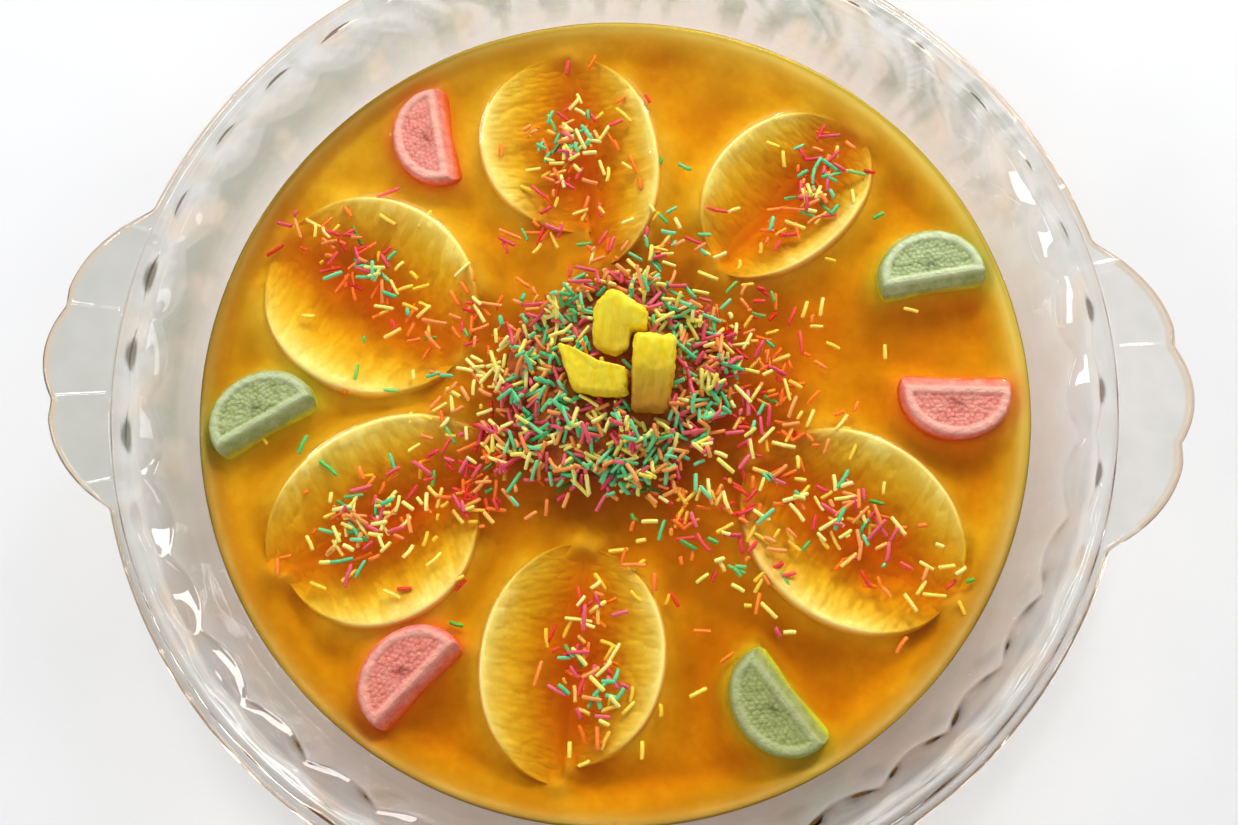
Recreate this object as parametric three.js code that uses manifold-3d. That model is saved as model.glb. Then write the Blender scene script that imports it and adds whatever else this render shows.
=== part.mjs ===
// Orange jelly set in a fluted glass pie dish with two scalloped handles.
// Six pairs of orange segments lie in the jelly like petals, with half-moon fruit sweets
// between them and three yellow fruit chunks on a low mound of sugar strands in the middle.
// Millimetres, +Z up. The origin is the centre of the dish's underside, handles along X.
import * as THREE from 'three';
import { mergeVertices } from 'three/addons/utils/BufferGeometryUtils.js';
import Module from 'manifold-3d';

// Driving dimensions of the dish
const RIM_RADIUS = 130;
const DISH_HEIGHT = 46;
const FLOOR_THICKNESS = 4.5;
const FLOOR_RADIUS = 96;
const BASE_RADIUS = 100;
const WALL_THICKNESS = 4.8; // measured level, as the wall leans out
const WALL_LEAN = 0.562; // outward travel for each millimetre of height
const FLUTES = 36;
const FLUTE_DEPTH = 2.4;
const BEAD_RADIUS = 127; // the crest of the rolled rim
const HANDLE_REACH = 147;
const HANDLE_NOTCH = 143.6;
const HANDLE_HALF_ANGLE = 18; // degrees
const HANDLE_THICKNESS = 3.4;

// Driving dimensions of the food
const JELLY_LEVEL = 24;
const JELLY_EDGE_RADIUS = 111.65; // inner wall at the jelly's level
const GAP = 0.3; // between pieces that touch
const SEGMENT_THICKNESS = 13.5; // at the back, half way along
const SEGMENT_THIN_EDGE = 2.6;
const SEGMENT_PROUD = 0.35; // back edge above the jelly
const SWEET_LENGTH = 29.5;
const SWEET_DEPTH = 17.5;
const SWEET_THICKNESS = 9;
const MOUND_RADIUS = 31;
const MOUND_HEIGHT = 3;
const MOUND_CENTRE = [0.5, 3];

const COARSE = 72; // points round the plain rings
const FINE = 144; // points round the fluted rings

// Petals: centre, direction of the long axis in degrees, then for the segment on each side
// its half length, its width and its shift along the axis.
const PETALS = [
  { at: [-12.7, 73.3], turn: 99.8, sides: [[28, 27, 2], [32.7, 20.3, -4.2]] },
  { at: [46.8, 59.5], turn: 46.9, sides: [[28, 21.3, 1], [29, 16.9, 0]] },
  { at: [65.2, -34.5], turn: -35.1, sides: [[31, 23.9, 0], [31.3, 24, -0.8]] },
  { at: [-6.9, -70.9], turn: -93, sides: [[27.9, 22.1, -1], [30.8, 22.7, 1]] },
  { at: [-60.7, -38.1], turn: -151.2, sides: [[27.2, 25.3, 0.7], [34.5, 25.3, -3.3]] },
  { at: [-70.4, 26.9], turn: 150.1, sides: [[31, 26.6, -2], [31, 26.5, -1.5]] },
];

// Sweets: middle of the straight side, direction the round side faces in degrees,
// how far the top stands above the jelly, and the sideways tilt in degrees.
const SWEETS = [
  { name: 'sweet_pink_1', at: [-49.2, 75], turn: 193.5, proud: 2.2, tilt: 2 },
  { name: 'sweet_green_1', at: [87.2, 31.4], turn: 102, proud: 3, tilt: -4 },
  { name: 'sweet_pink_2', at: [92, 8.2], turn: -89, proud: 3, tilt: 2 },
  { name: 'sweet_green_2', at: [-91.2, -15.4], turn: 123.5, proud: 3, tilt: -3 },
  { name: 'sweet_pink_3', at: [-44.2, -81.2], turn: 139, proud: 2.4, tilt: -3 },
  { name: 'sweet_green_3', at: [50.2, -76.2], turn: 219.6, proud: 2.6, tilt: 2 },
];

// Chunks: outline on the mound, then how far each corner leans in and rises to the top face.
const CHUNK_FOOT = 27.5;
const CHUNKS = [
  { outline: [
    [-6, 11], [0.5, 8.6], [4, 11], [4.4, 15.6], [8.6, 16], [8.6, 21.5], [-1.8, 27.4], [-6, 22.8],
  ],
    rise: [2.5, 2.5, 3.5, 5, 6.5, 8, 8, 5], lean: 0.16 },
  { outline: [[-10.6, -1.6], [-2, -2.8], [4.2, -2.6], [4, 5], [-4, 6.4], [-10, 9.6], [-15.6, 12]],
    rise: [4.5, 5, 5.5, 6.5, 6.5, 6, 5], lean: 0.12 },
  { outline: [[5.2, -6.4], [14.9, -6.6], [16.4, 4], [16.8, 14.2], [5, 14.8], [4.9, 4]],
    rise: [4.5, 4.5, 7.5, 8.5, 8.5, 7.5], lean: 0.12 },
];

const COLOURS = {
  glass: 0xe3e7e2,
  jelly: 0xd98a12,
  orange: 0xe8b32e,
  pink: 0xdc8378,
  green: 0xa3b87c,
  chunk: 0xe0c233,
  sprinkles: 0xc77a55,
};

const wasm = await Module();
wasm.setup();

const radians = (degrees) => (degrees * Math.PI) / 180;

// --- Meshes from rings of points ---

// Joins two neighbouring rings with triangles. The rings have equal counts, or one has twice
// as many points as the other.
function stitch(triangles, a, b) {
  const at = (ring, i) => ring.start + (i % ring.count);
  for (let i = 0; i < Math.min(a.count, b.count); i++) {
    if (a.count === b.count) {
      triangles.push(at(a, i), at(b, i), at(b, i + 1));
      triangles.push(at(a, i), at(b, i + 1), at(a, i + 1));
    } else if (b.count > a.count) {
      triangles.push(at(a, i), at(b, 2 * i), at(b, 2 * i + 1));
      triangles.push(at(a, i), at(b, 2 * i + 1), at(a, i + 1));
      triangles.push(at(a, i + 1), at(b, 2 * i + 1), at(b, 2 * i + 2));
    } else {
      triangles.push(at(a, 2 * i), at(b, i), at(a, 2 * i + 1));
      triangles.push(at(a, 2 * i + 1), at(b, i), at(b, i + 1));
      triangles.push(at(a, 2 * i + 1), at(b, i + 1), at(a, 2 * i + 2));
    }
  }
}

// A closed body from a list of rings, each a list of [x, y, z], with a point at either end.
function bodyFromRings(first, rings, last) {
  const points = [first];
  const placed = rings.map((ring) => {
    const start = points.length;
    points.push(...ring);
    return { start, count: ring.length };
  });
  points.push(last);
  const triangles = [];
  const head = placed[0];
  const tail = placed[placed.length - 1];
  for (let i = 0; i < head.count; i++) {
    triangles.push(0, head.start + i, head.start + ((i + 1) % head.count));
  }
  for (let k = 1; k < placed.length; k++) {
    stitch(triangles, placed[k - 1], placed[k]);
  }
  for (let i = 0; i < tail.count; i++) {
    triangles.push(points.length - 1, tail.start + ((i + 1) % tail.count), tail.start + i);
  }
  const geometry = new THREE.BufferGeometry();
  geometry.setAttribute('position', new THREE.Float32BufferAttribute(points.flat(), 3));
  geometry.setIndex(triangles);
  return facingOut(geometry);
}

// Turns every face over if the body's signed volume comes out negative.
function facingOut(geometry) {
  const index = geometry.index.array;
  const corner = (k) => new THREE.Vector3().fromBufferAttribute(geometry.attributes.position, k);
  let volume = 0;
  for (let i = 0; i < index.length; i += 3) {
    volume += corner(index[i]).dot(corner(index[i + 1]).cross(corner(index[i + 2])));
  }
  if (volume < 0) {
    for (let i = 0; i < index.length; i += 3) {
      [index[i + 1], index[i + 2]] = [index[i + 2], index[i + 1]];
    }
  }
  return geometry;
}

function toSolid(geometry) {
  const bare = geometry.clone();
  bare.deleteAttribute('normal');
  bare.deleteAttribute('uv');
  const merged = mergeVertices(bare, 1e-4);
  return new wasm.Manifold(new wasm.Mesh({
    numProp: 3,
    vertProperties: new Float32Array(merged.attributes.position.array),
    triVerts: new Uint32Array(merged.index.array),
  }));
}

function fromSolid(solid) {
  const mesh = solid.getMesh();
  const geometry = new THREE.BufferGeometry();
  geometry.setAttribute('position', new THREE.BufferAttribute(mesh.vertProperties, 3));
  geometry.setIndex(new THREE.BufferAttribute(mesh.triVerts, 1));
  return geometry;
}

// --- Glass dish ---

const wallRadius = (z) => JELLY_EDGE_RADIUS + WALL_LEAN * (z - JELLY_LEVEL);

// 1 in the middle of a flute and 0 on the crease between two, for an angle in degrees
function fluteShape(angle) {
  const pitch = 360 / FLUTES;
  const off = Math.abs(angle / pitch - Math.round(angle / pitch)) * 2;
  return 1 - off * off;
}

// A ring whose radius and height are numbers, or functions of the angle in degrees
function ring(count, radius, height) {
  const value = (source, angle) => (typeof source === 'function' ? source(angle) : source);
  return Array.from({ length: count }, (_, i) => {
    const angle = (i * 360) / count;
    const r = value(radius, angle);
    return [r * Math.cos(radians(angle)), r * Math.sin(radians(angle)), value(height, angle)];
  });
}

function flutedRing(radius, height, depth) {
  return ring(FINE, (angle) => radius + depth * (fluteShape(angle) - 0.67), height);
}

// How far the handles reach past the rim at an angle: three scallops with notches between
function handleReach(angle) {
  const off = Math.abs(((angle + 90) % 180) - 90);
  if (off >= HANDLE_HALF_ANGLE) return 0;
  const outline = off < 5
    ? HANDLE_REACH - (HANDLE_REACH - HANDLE_NOTCH) * (off / 5) ** 2
    : HANDLE_NOTCH + 0.6 - 0.6 * Math.abs(off - 7) / 2;
  const past = Math.max(0, (off - 7) / (HANDLE_HALF_ANGLE - 7));
  return (outline - RIM_RADIUS) * (1 - past ** 2.2);
}

const isHandle = (angle) => handleReach(angle) > 0.5;
const rimEdge = (past) => (angle) => RIM_RADIUS - past + handleReach(angle);

function glassDish() {
  const top = DISH_HEIGHT;
  const tabTop = (angle) => top - (isHandle(angle) ? 1.3 + 0.6 * fluteShape(angle) : 1);
  const tabEdge = (angle) => top - (isHandle(angle) ? 2 : 1.9);
  const tabUnder = top - 1.2 - HANDLE_THICKNESS;
  const outer = (z) => wallRadius(z) + WALL_THICKNESS;
  const fluteStart = JELLY_LEVEL + 0.6;
  const rings = [
    ring(COARSE, FLOOR_RADIUS, FLOOR_THICKNESS),
    ring(COARSE, 101, 6.4),
    ring(COARSE, wallRadius(10.5), 10.5),
    ring(COARSE, wallRadius(fluteStart), fluteStart),
    flutedRing(wallRadius(30), 30, 0.6 * FLUTE_DEPTH),
    flutedRing(wallRadius(40), 40, FLUTE_DEPTH),
    ring(FINE, 124.6, 44.3),
    ring(FINE, BEAD_RADIUS, top),
    ring(FINE, (angle) => 128.8 + 0.2 * handleReach(angle), tabTop),
    ring(FINE, rimEdge(1), tabTop),
    ring(FINE, rimEdge(0), tabEdge),
    ring(FINE, rimEdge(0.7), tabUnder),
    ring(FINE, 128.6, tabUnder - 0.3),
    flutedRing(outer(37), 37, 0.8 * FLUTE_DEPTH),
    flutedRing(outer(30), 30, 0.6 * FLUTE_DEPTH),
    ring(COARSE, outer(fluteStart), fluteStart),
    ring(COARSE, outer(6), 6),
    ring(COARSE, BASE_RADIUS + 2.6, 1.6),
    ring(COARSE, BASE_RADIUS, 0),
  ];
  return bodyFromRings([0, 0, FLOOR_THICKNESS], rings, [0, 0, 0]);
}

// --- Orange segments ---

// One segment lying on its side: thin edge along the petal's axis, thick back outwards.
// grow enlarges it on every side, for the hollow it leaves in the jelly.
function segmentBody([halfLength, width, shift], side, grow) {
  const stations = [-0.92, -0.7, -0.36, 0, 0.36, 0.7, 0.92];
  const inner = 0.9 - grow;
  const rings = stations.map((t) => {
    const local = width * Math.sqrt(1 - t * t) + grow;
    const back = JELLY_LEVEL + SEGMENT_PROUD - 1.4 * t * t + grow;
    const under = back - SEGMENT_THICKNESS * (1 - 0.42 * t * t) - 2 * grow;
    const thin = under + SEGMENT_THIN_EDGE + 2 * grow;
    const section = [
      [inner, under],
      [inner + local - 2, under],
      [inner + local + 0.8, under + 0.45 * (back - under)],
      [inner + local, back],
      [inner + 0.5 * local, thin + 0.46 * (back - thin) + 0.5 * grow],
      [inner, thin],
    ];
    const along = t * (halfLength + grow) + shift;
    return section.map(([across, z]) => [along, side * across, z]);
  });
  const tip = (sign) => {
    return [sign * (halfLength + grow) + shift, side * (inner + 1), JELLY_LEVEL - 5];
  };
  return bodyFromRings(tip(-1), rings, tip(1));
}

function placeOnPetal(geometry, petal) {
  geometry.rotateZ(radians(petal.turn));
  geometry.translate(petal.at[0], petal.at[1], 0);
  return geometry;
}

const segments = PETALS.flatMap((petal) => petal.sides.map((spec, k) => {
  const side = k === 0 ? 1 : -1;
  return {
    body: placeOnPetal(segmentBody(spec, side, 0), petal),
    hollow: placeOnPetal(segmentBody(spec, side, GAP), petal),
  };
}));

// --- Half-moon sweets ---

// A half-moon slab with rounded edges. Its straight side lies along Y at x = 0 and its round
// side faces +X; the top face is at z = 0.
function sweetBody(grow) {
  const bevel = 1.4;
  const half = SWEET_LENGTH / 2 - bevel + grow;
  const waist = 2.6; // the sweet is widest this far from its straight side
  const reach = SWEET_DEPTH - 2 * bevel - waist + 2 * grow;
  const end = Math.acos(-waist / reach);
  const steps = 11;
  const outline = Array.from({ length: steps + 1 }, (_, i) => {
    const turn = end * ((2 * i) / steps - 1);
    const x = bevel - grow + waist + reach * Math.cos(turn);
    return new THREE.Vector2(x, half * Math.sin(turn));
  });
  const shape = new THREE.Shape(outline);
  const geometry = new THREE.ExtrudeGeometry(shape, {
    depth: SWEET_THICKNESS - 2 * bevel + 2 * grow,
    bevelThickness: bevel,
    bevelSize: bevel,
    bevelSegments: 1,
    curveSegments: 1,
  });
  geometry.translate(0, 0, bevel - SWEET_THICKNESS - grow);
  return geometry;
}

function placeSweet(geometry, sweet) {
  geometry.rotateY(radians(sweet.tilt));
  geometry.rotateZ(radians(sweet.turn));
  geometry.translate(sweet.at[0], sweet.at[1], JELLY_LEVEL + sweet.proud);
  return geometry;
}

const sweets = SWEETS.map((sweet) => ({
  name: sweet.name,
  body: placeSweet(sweetBody(0), sweet),
  hollow: placeSweet(sweetBody(GAP), sweet),
}));

// --- Jelly ---

function jellyBody() {
  const foot = FLOOR_THICKNESS + GAP;
  const profile = [
    [0, foot],
    [FLOOR_RADIUS - GAP, foot],
    [101 - 1.3 * GAP, 6.4 + 0.6 * GAP],
    [wallRadius(10.5) - 1.3 * GAP, 10.5],
    [wallRadius(JELLY_LEVEL) - 1.3 * GAP, JELLY_LEVEL],
    [0, JELLY_LEVEL],
  ];
  const geometry = new THREE.LatheGeometry(profile.map((p) => new THREE.Vector2(...p)), COARSE);
  geometry.rotateX(Math.PI / 2);
  let solid = toSolid(geometry);
  for (const piece of [...segments, ...sweets]) {
    solid = solid.subtract(toSolid(piece.hollow));
  }
  return fromSolid(solid);
}

// --- Mound of sugar strands ---

function moundBody() {
  const count = 36;
  const foot = JELLY_LEVEL + GAP;
  const outline = (turn) => 1 + 0.06 * Math.sin(2 * turn + 0.6) + 0.05 * Math.sin(5 * turn);
  const shelf = (share, height) => Array.from({ length: count }, (_, i) => {
    const turn = (i * 2 * Math.PI) / count;
    const r = MOUND_RADIUS * share * outline(turn);
    return [MOUND_CENTRE[0] + r * Math.cos(turn), MOUND_CENTRE[1] + r * Math.sin(turn), height];
  });
  const rings = [
    shelf(0.55, foot + 0.97 * MOUND_HEIGHT),
    shelf(0.82, foot + 0.68 * MOUND_HEIGHT),
    shelf(1, foot + 0.3 * MOUND_HEIGHT),
    shelf(0.99, foot),
  ];
  return bodyFromRings([...MOUND_CENTRE, foot + MOUND_HEIGHT], rings, [...MOUND_CENTRE, foot]);
}

// --- Yellow fruit chunks ---

function chunkBody({ outline, rise, lean }) {
  const count = outline.length;
  const middle = outline.reduce(([x, y], [px, py]) => [x + px / count, y + py / count], [0, 0]);
  const level = (inset, lift) => outline.map(([x, y], i) => [
    x + (middle[0] - x) * inset,
    y + (middle[1] - y) * inset,
    CHUNK_FOOT + lift * rise[i],
  ]);
  const topHeight = CHUNK_FOOT + rise.reduce((sum, h) => sum + h / count, 0);
  const rings = [
    level(0.05, 0),
    level(0, 0.25),
    level(0.5 * lean, 0.85),
    level(lean, 1),
  ];
  return bodyFromRings([...middle, CHUNK_FOOT], rings, [...middle, topHeight]);
}

// --- The whole dessert ---

const group = new THREE.Group();

function addPiece(name, geometry, color, roughness, extra = {}) {
  geometry.deleteAttribute('normal');
  geometry.deleteAttribute('uv');
  const merged = mergeVertices(geometry, 1e-4);
  merged.computeVertexNormals();
  const material = new THREE.MeshStandardMaterial({ color, roughness, metalness: 0, ...extra });
  const mesh = new THREE.Mesh(merged, material);
  mesh.name = name;
  group.add(mesh);
}

addPiece('glass_dish', glassDish(), COLOURS.glass, 0.05, { transparent: true, opacity: 0.4 });
addPiece('jelly', jellyBody(), COLOURS.jelly, 0.12, { transparent: true, opacity: 0.85 });
segments.forEach((piece, k) => {
  const number = String(k + 1).padStart(2, '0');
  addPiece(`orange_segment_${number}`, piece.body, COLOURS.orange, 0.3);
});
sweets.forEach((piece) => {
  const colour = piece.name.includes('pink') ? COLOURS.pink : COLOURS.green;
  addPiece(piece.name, piece.body, colour, 0.6);
});
addPiece('sprinkle_mound', moundBody(), COLOURS.sprinkles, 0.7);
CHUNKS.forEach((chunk, k) => {
  addPiece(`fruit_chunk_${k + 1}`, chunkBody(chunk), COLOURS.chunk, 0.6);
});

export default group;
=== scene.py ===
import math

import bpy
import numpy as np
from mathutils import Euler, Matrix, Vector


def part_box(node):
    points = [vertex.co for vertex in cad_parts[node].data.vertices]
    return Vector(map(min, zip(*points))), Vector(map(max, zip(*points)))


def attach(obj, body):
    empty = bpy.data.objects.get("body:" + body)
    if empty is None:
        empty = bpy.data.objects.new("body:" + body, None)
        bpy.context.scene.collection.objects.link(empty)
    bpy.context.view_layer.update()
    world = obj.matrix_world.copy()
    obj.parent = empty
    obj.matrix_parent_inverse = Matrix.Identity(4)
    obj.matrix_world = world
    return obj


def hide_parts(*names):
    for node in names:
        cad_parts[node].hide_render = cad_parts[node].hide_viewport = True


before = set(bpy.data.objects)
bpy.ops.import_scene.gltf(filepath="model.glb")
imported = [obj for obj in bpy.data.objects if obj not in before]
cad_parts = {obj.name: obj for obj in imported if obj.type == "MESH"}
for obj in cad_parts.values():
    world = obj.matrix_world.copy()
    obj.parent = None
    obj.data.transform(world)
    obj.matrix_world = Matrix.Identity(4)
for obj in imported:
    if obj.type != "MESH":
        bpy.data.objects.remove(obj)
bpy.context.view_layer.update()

# Orange jelly in a fluted glass pie dish. Sizes are millimetres, turned into metres when a mesh is
# made. The dish's centre is the origin and its handles lie along X.

METRES = 0.001


def top_of(node):
    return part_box(node)[1] / METRES


# --- Driving dimensions ---

DISH_HEIGHT = top_of("glass_dish").z
RIM_RADIUS = top_of("glass_dish").y
HANDLE_REACH = top_of("glass_dish").x
JELLY_LEVEL = top_of("jelly").z

FLOOR_THICKNESS = 4.5
FLOOR_RADIUS = 96
BASE_RADIUS = 100
WALL_THICKNESS = 4.8
WALL_LEAN = 0.562
CORNER_TOP = 10.5  # the wall's straight line ends here, above the rounded corner of the floor
FLUTES = 36
COLUMNS_PER_FLUTE = 24
OUTER_FLUTE_DEPTH = 1.0
OUTER_FLUTE_GROWTH = 11  # the outer flutes grow over this height
CREASE_SOFTNESS = 0.06
SCOOP_FOOT = 35  # inside, each flute is a scoop that starts here in its middle,
SCOOP_PEAK = 41  # is deepest here, with an upright head above
SCOOP_HEAD = 44.2
SCOOP_DEPTH = 1.9
SCOOP_CROWN = 1.1  # how much shallower the scoop is on the creases
SCOOP_LIP = 0.22  # height of the rounded edge along the foot of the scoops
SCOOP_LIP_WIDTH = 0.9
CREASE_RIDGE = 0.5  # height of the ridges across the flange
CREASE_RIDGE_WIDTH = 0.75
HALF_FLUTE = 12  # half a flute's width on the flange
FLUTE_START = JELLY_LEVEL + 0.6
BEAD_RADIUS = 125.7
BEAD_SIZE = 1.5
BEAD_LEVEL = DISH_HEIGHT - BEAD_SIZE
FLANGE_DROP = 1.35  # the flange is this much lower than the bead
HANDLE_NOTCH = HANDLE_REACH - 3.4
HANDLE_HALF_ANGLE = 18
MIDDLE_SCALLOP = 5  # half its width in degrees
SIDE_SCALLOP = 7  # middle of the scallops beside it, in degrees
HANDLE_THICKNESS = 3.4
OVAL_LEVEL = 43.7  # dark ovals at the scoops' heads
OVAL_HALF_HEIGHT = 1.9
OVAL_HALF_WIDTH = 0.23  # in flutes

JELLY_EDGE_RADIUS = 111.65
SEGMENT_THICKNESS = 13.5
SEGMENT_THIN_EDGE = 2.6
SEGMENT_PROUD = 0.35
SEGMENT_INNER = 0.04  # from the petal's axis to the thin edge
SEGMENT_REACH = 0.85  # the halves meet, so each is this much wider than its solid
CREST_DROP = 0.35  # the back edge is rounded off by this much
TIP_LEVEL = JELLY_LEVEL - 5
SWEET_LENGTH = 29.5
SWEET_DEPTH = 17.5
SWEET_THICKNESS = 9
SWEET_BEVEL = 2.3
SWEET_WAIST = 2.6
SWEET_RIDGE = 4.2  # the crest beside the straight side stands this far in
SWEET_SLOPE = 1.25  # fall of the flank below that crest
SWEET_ROUNDING = 1.9
MOUND_RADIUS = 31
CORE_RADIUS = MOUND_RADIUS * 0.93  # the visible core is smaller than the heap
CORE_HEIGHT = 1.7
MOUND_CENTRE = (0.5, 3)
STRAND_RADIUS = 0.54

# Petals: centre, direction of the long axis in degrees, then for the segment on each side its half
# length, its width and its shift along the axis.
PETALS = [
    ((-12.7, 73.3), 99.8, ((28, 27, 2), (32.7, 20.3, -4.2))),
    ((46.8, 59.5), 46.9, ((28, 21.3, 1), (29, 16.9, 0))),
    ((65.2, -34.5), -35.1, ((31, 23.9, 0), (31.3, 24, -0.8))),
    ((-6.9, -70.9), -93, ((27.9, 22.1, -1), (30.8, 22.7, 1))),
    ((-60.7, -38.1), -151.2, ((27.2, 25.3, 0.7), (34.5, 25.3, -3.3))),
    ((-70.4, 26.9), 150.1, ((31, 26.6, -2), (31, 26.5, -1.5))),
]
# Segments: petal, half length, width, shift, and the side of the axis that it is on.
SEGMENTS = [(petal, *spec, side) for petal in PETALS for spec, side in zip(petal[2], (1, -1))]

# Sweets: node, middle of the straight side, direction the round side faces, height of the top above
# the jelly, sideways tilt, share of its colour that it has lost to the jelly.
SWEETS = [
    ("sweet_pink_1", (-49.2, 75), 193.5, 2.2, 2, 0),
    ("sweet_green_1", (87.2, 31.4), 102, 3, -4, 0),
    ("sweet_pink_2", (92, 8.2), -89, 3, 2, 0),
    ("sweet_green_2", (-91.2, -15.4), 123.5, 3, -3, 0.25),
    ("sweet_pink_3", (-44.2, -81.2), 139, 2.4, -3, 0.2),
    ("sweet_green_3", (50.2, -76.2), 219.6, 2.6, 2, 0.6),
]

# Chunks: outline on the mound, how far each corner rises, how much the top leans in, and how brown
# the near end is, partly soaked and partly painted shade.
CHUNK_FOOT = 27.5
CHUNK_ROUNDING = 1.5
CHUNKS = [
    ([(-6, 11), (0.5, 8.6), (4, 11), (4.4, 15.6), (8.6, 16), (8.6, 21.5), (-1.8, 27.4), (-6, 22.8)],
     [2.5, 2.5, 3.5, 5, 6.5, 8, 8, 5], 0.16, 0.5),
    ([(-10.6, -1.6), (-2, -2.8), (4.2, -2.6), (4, 5), (-4, 6.4), (-10, 9.6), (-15.6, 12)],
     [4.5, 5, 5.5, 6.5, 6.5, 6, 5], 0.12, 0.35),
    ([(5.2, -6.4), (14.9, -6.6), (16.4, 4), (16.8, 14.2), (5, 14.8), (4.9, 4)],
     [4.5, 4.5, 7.5, 8.5, 8.5, 7.5], 0.12, 1),
]

BODY = "root"


# --- Mesh helpers ---

def add_piece(name, points, faces, material, slot, stands_for=(), flat_angle=None, **values):
    """A smooth mesh piece that rides on the body; values are numbers for each point."""
    mesh = bpy.data.meshes.new(name)
    faces = [face for group in faces for face in np.asarray(group).tolist()]
    mesh.from_pydata((np.asarray(points) * METRES).tolist(), [], faces)
    mesh.update()
    mesh.shade_smooth()
    if flat_angle is not None:
        mesh.set_sharp_from_angle(angle=math.radians(flat_angle))
    for label, numbers in values.items():
        layer = mesh.attributes.new(label, "FLOAT", "POINT")
        layer.data.foreach_set("value", np.asarray(numbers, np.float32))
    mesh.materials.append(material)
    piece = bpy.data.objects.new(name, mesh)
    bpy.context.scene.collection.objects.link(piece)
    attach(piece, BODY)
    if stands_for:
        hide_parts(*stands_for)


def band_faces(rows, columns, start=0):
    """Quads between neighbouring rings of points, each ring closed, facing out if the rings run up."""
    i = np.arange(rows - 1)[:, None]
    j = np.arange(columns)[None, :]
    k = (j + 1) % columns
    quads = [i * columns + j, i * columns + k, (i + 1) * columns + k, (i + 1) * columns + j]
    return start + np.stack(quads, axis=-1).reshape(-1, 4)


def fan_faces(hub, ring_start, columns, facing=1):
    """Triangles from a hub point to a closed ring of points."""
    j = np.arange(columns)
    k = (j + 1) % columns
    first, second = (j, k) if facing > 0 else (k, j)
    return np.stack([np.full(columns, hub), ring_start + first, ring_start + second], axis=-1)


def closed_body(rings, first, last):
    """Points and faces of a closed body: rings from the first end to the last, counter-clockwise
    when the last end is up."""
    rows, columns = rings.shape[:2]
    hub = rows * columns
    points = np.concatenate([rings.reshape(-1, 3), [first], [last]])
    return points, [
        band_faces(rows, columns),
        fan_faces(hub, 0, columns, -1),
        fan_faces(hub + 1, hub - columns, columns, 1),
    ]


def with_ends(numbers, first=0, last=0):
    """Numbers for all points of a closed body, from those of its rings and its two ends."""
    return np.concatenate([np.ravel(numbers), [first, last]])


def round_block(count, reach, height_at, side_rings):
    """Points and faces of a block with a round, uneven top, sides down through rings of a radius and
    a level each, and a flat underside. Its first count * count points are the top's."""
    line = np.linspace(-1, 1, count)
    u, v = (part.ravel() for part in np.meshgrid(line, line, indexing="xy"))
    x, y = u * np.sqrt(1 - v ** 2 / 2) * reach, v * np.sqrt(1 - u ** 2 / 2) * reach
    low = np.arange(count - 1)
    last = count * count - 1
    rim = np.concatenate([low, low * count + count - 1, last - low, (count - 1 - low) * count])
    turn = np.arctan2(y[rim], x[rim])
    blocks = [np.stack([x, y, height_at(x, y)], axis=-1)]
    for radius, level in side_rings:
        ring = [radius * np.cos(turn), radius * np.sin(turn), np.full(len(turn), level)]
        blocks.append(np.stack(ring, axis=-1))
    points = np.concatenate([*blocks, [(0, 0, side_rings[-1][1])]])

    a = low[:, None] * count + low[None, :]
    top = np.stack([a, a + 1, a + count + 1, a + count], axis=-1).reshape(-1, 4)
    below = count * count + np.arange(len(side_rings) * len(rim)).reshape(-1, len(rim))
    ring_index = np.concatenate([rim[None], below])
    following = np.roll(ring_index, -1, axis=1)
    sides = np.stack([ring_index[1:], following[1:], following[:-1], ring_index[:-1]], axis=-1)
    foot = fan_faces(len(points) - 1, below[-1, 0], len(rim), -1)
    return points, [top, sides.reshape(-1, 4), foot]


def ripple(x, y, seed, size, octaves=3):
    """Smooth unevenness, mostly between -1 and 1, with its largest features size across."""
    rng = np.random.default_rng(seed)
    waves = 5
    total = np.zeros(np.broadcast(x, y).shape)
    for octave in range(octaves):
        for _ in range(waves):
            turn = rng.uniform(0, 2 * np.pi)
            start = rng.uniform(0, 2 * np.pi)
            step = 2 * np.pi / size * 2 ** octave * rng.uniform(0.7, 1.3)
            total += 0.5 ** octave * np.sin(step * (x * np.cos(turn) + y * np.sin(turn)) + start)
    return total / 3.2


def smooth_step(value, low, high):
    share = np.clip((value - low) / (high - low), 0, 1)
    return share * share * (3 - 2 * share)


def bump(gap, width):
    """1 where the gap is 0, falling off smoothly over about the width."""
    return np.exp(-(gap / width) ** 2)


def bezier(a, b, c, d, count):
    """Points along a cubic curve, leaving out its first point. Ends may be arrays of columns."""
    curve = []
    for t in np.arange(1, count + 1) / count:
        s = 1 - t
        curve.append([s ** 3 * a[k] + 3 * s * s * t * b[k] + 3 * s * t * t * c[k] + t ** 3 * d[k]
                      for k in (0, 1)])
    return curve


def placed(at, degrees, along, across):
    """World x and y from distances along and across a direction, from a place."""
    c, s = math.cos(math.radians(degrees)), math.sin(math.radians(degrees))
    return at[0] + along * c - across * s, at[1] + along * s + across * c


def nearest_of(points, x, y, chunk=20000):
    """For each x, y the distance to the nearest of some points, and which point it is."""
    flat = np.stack([np.ravel(x), np.ravel(y)], axis=-1)
    best = np.empty(len(flat))
    which = np.empty(len(flat), int)
    for k in range(0, len(flat), chunk):
        gap = np.linalg.norm(flat[k:k + chunk, None, :] - points[None], axis=-1)
        which[k:k + chunk] = gap.argmin(axis=1)
        best[k:k + chunk] = gap.min(axis=1)
    return best.reshape(np.shape(x)), which.reshape(np.shape(x))


def distance_to(points, x, y):
    return nearest_of(points, x, y)[0]


# --- Material helpers ---

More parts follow.
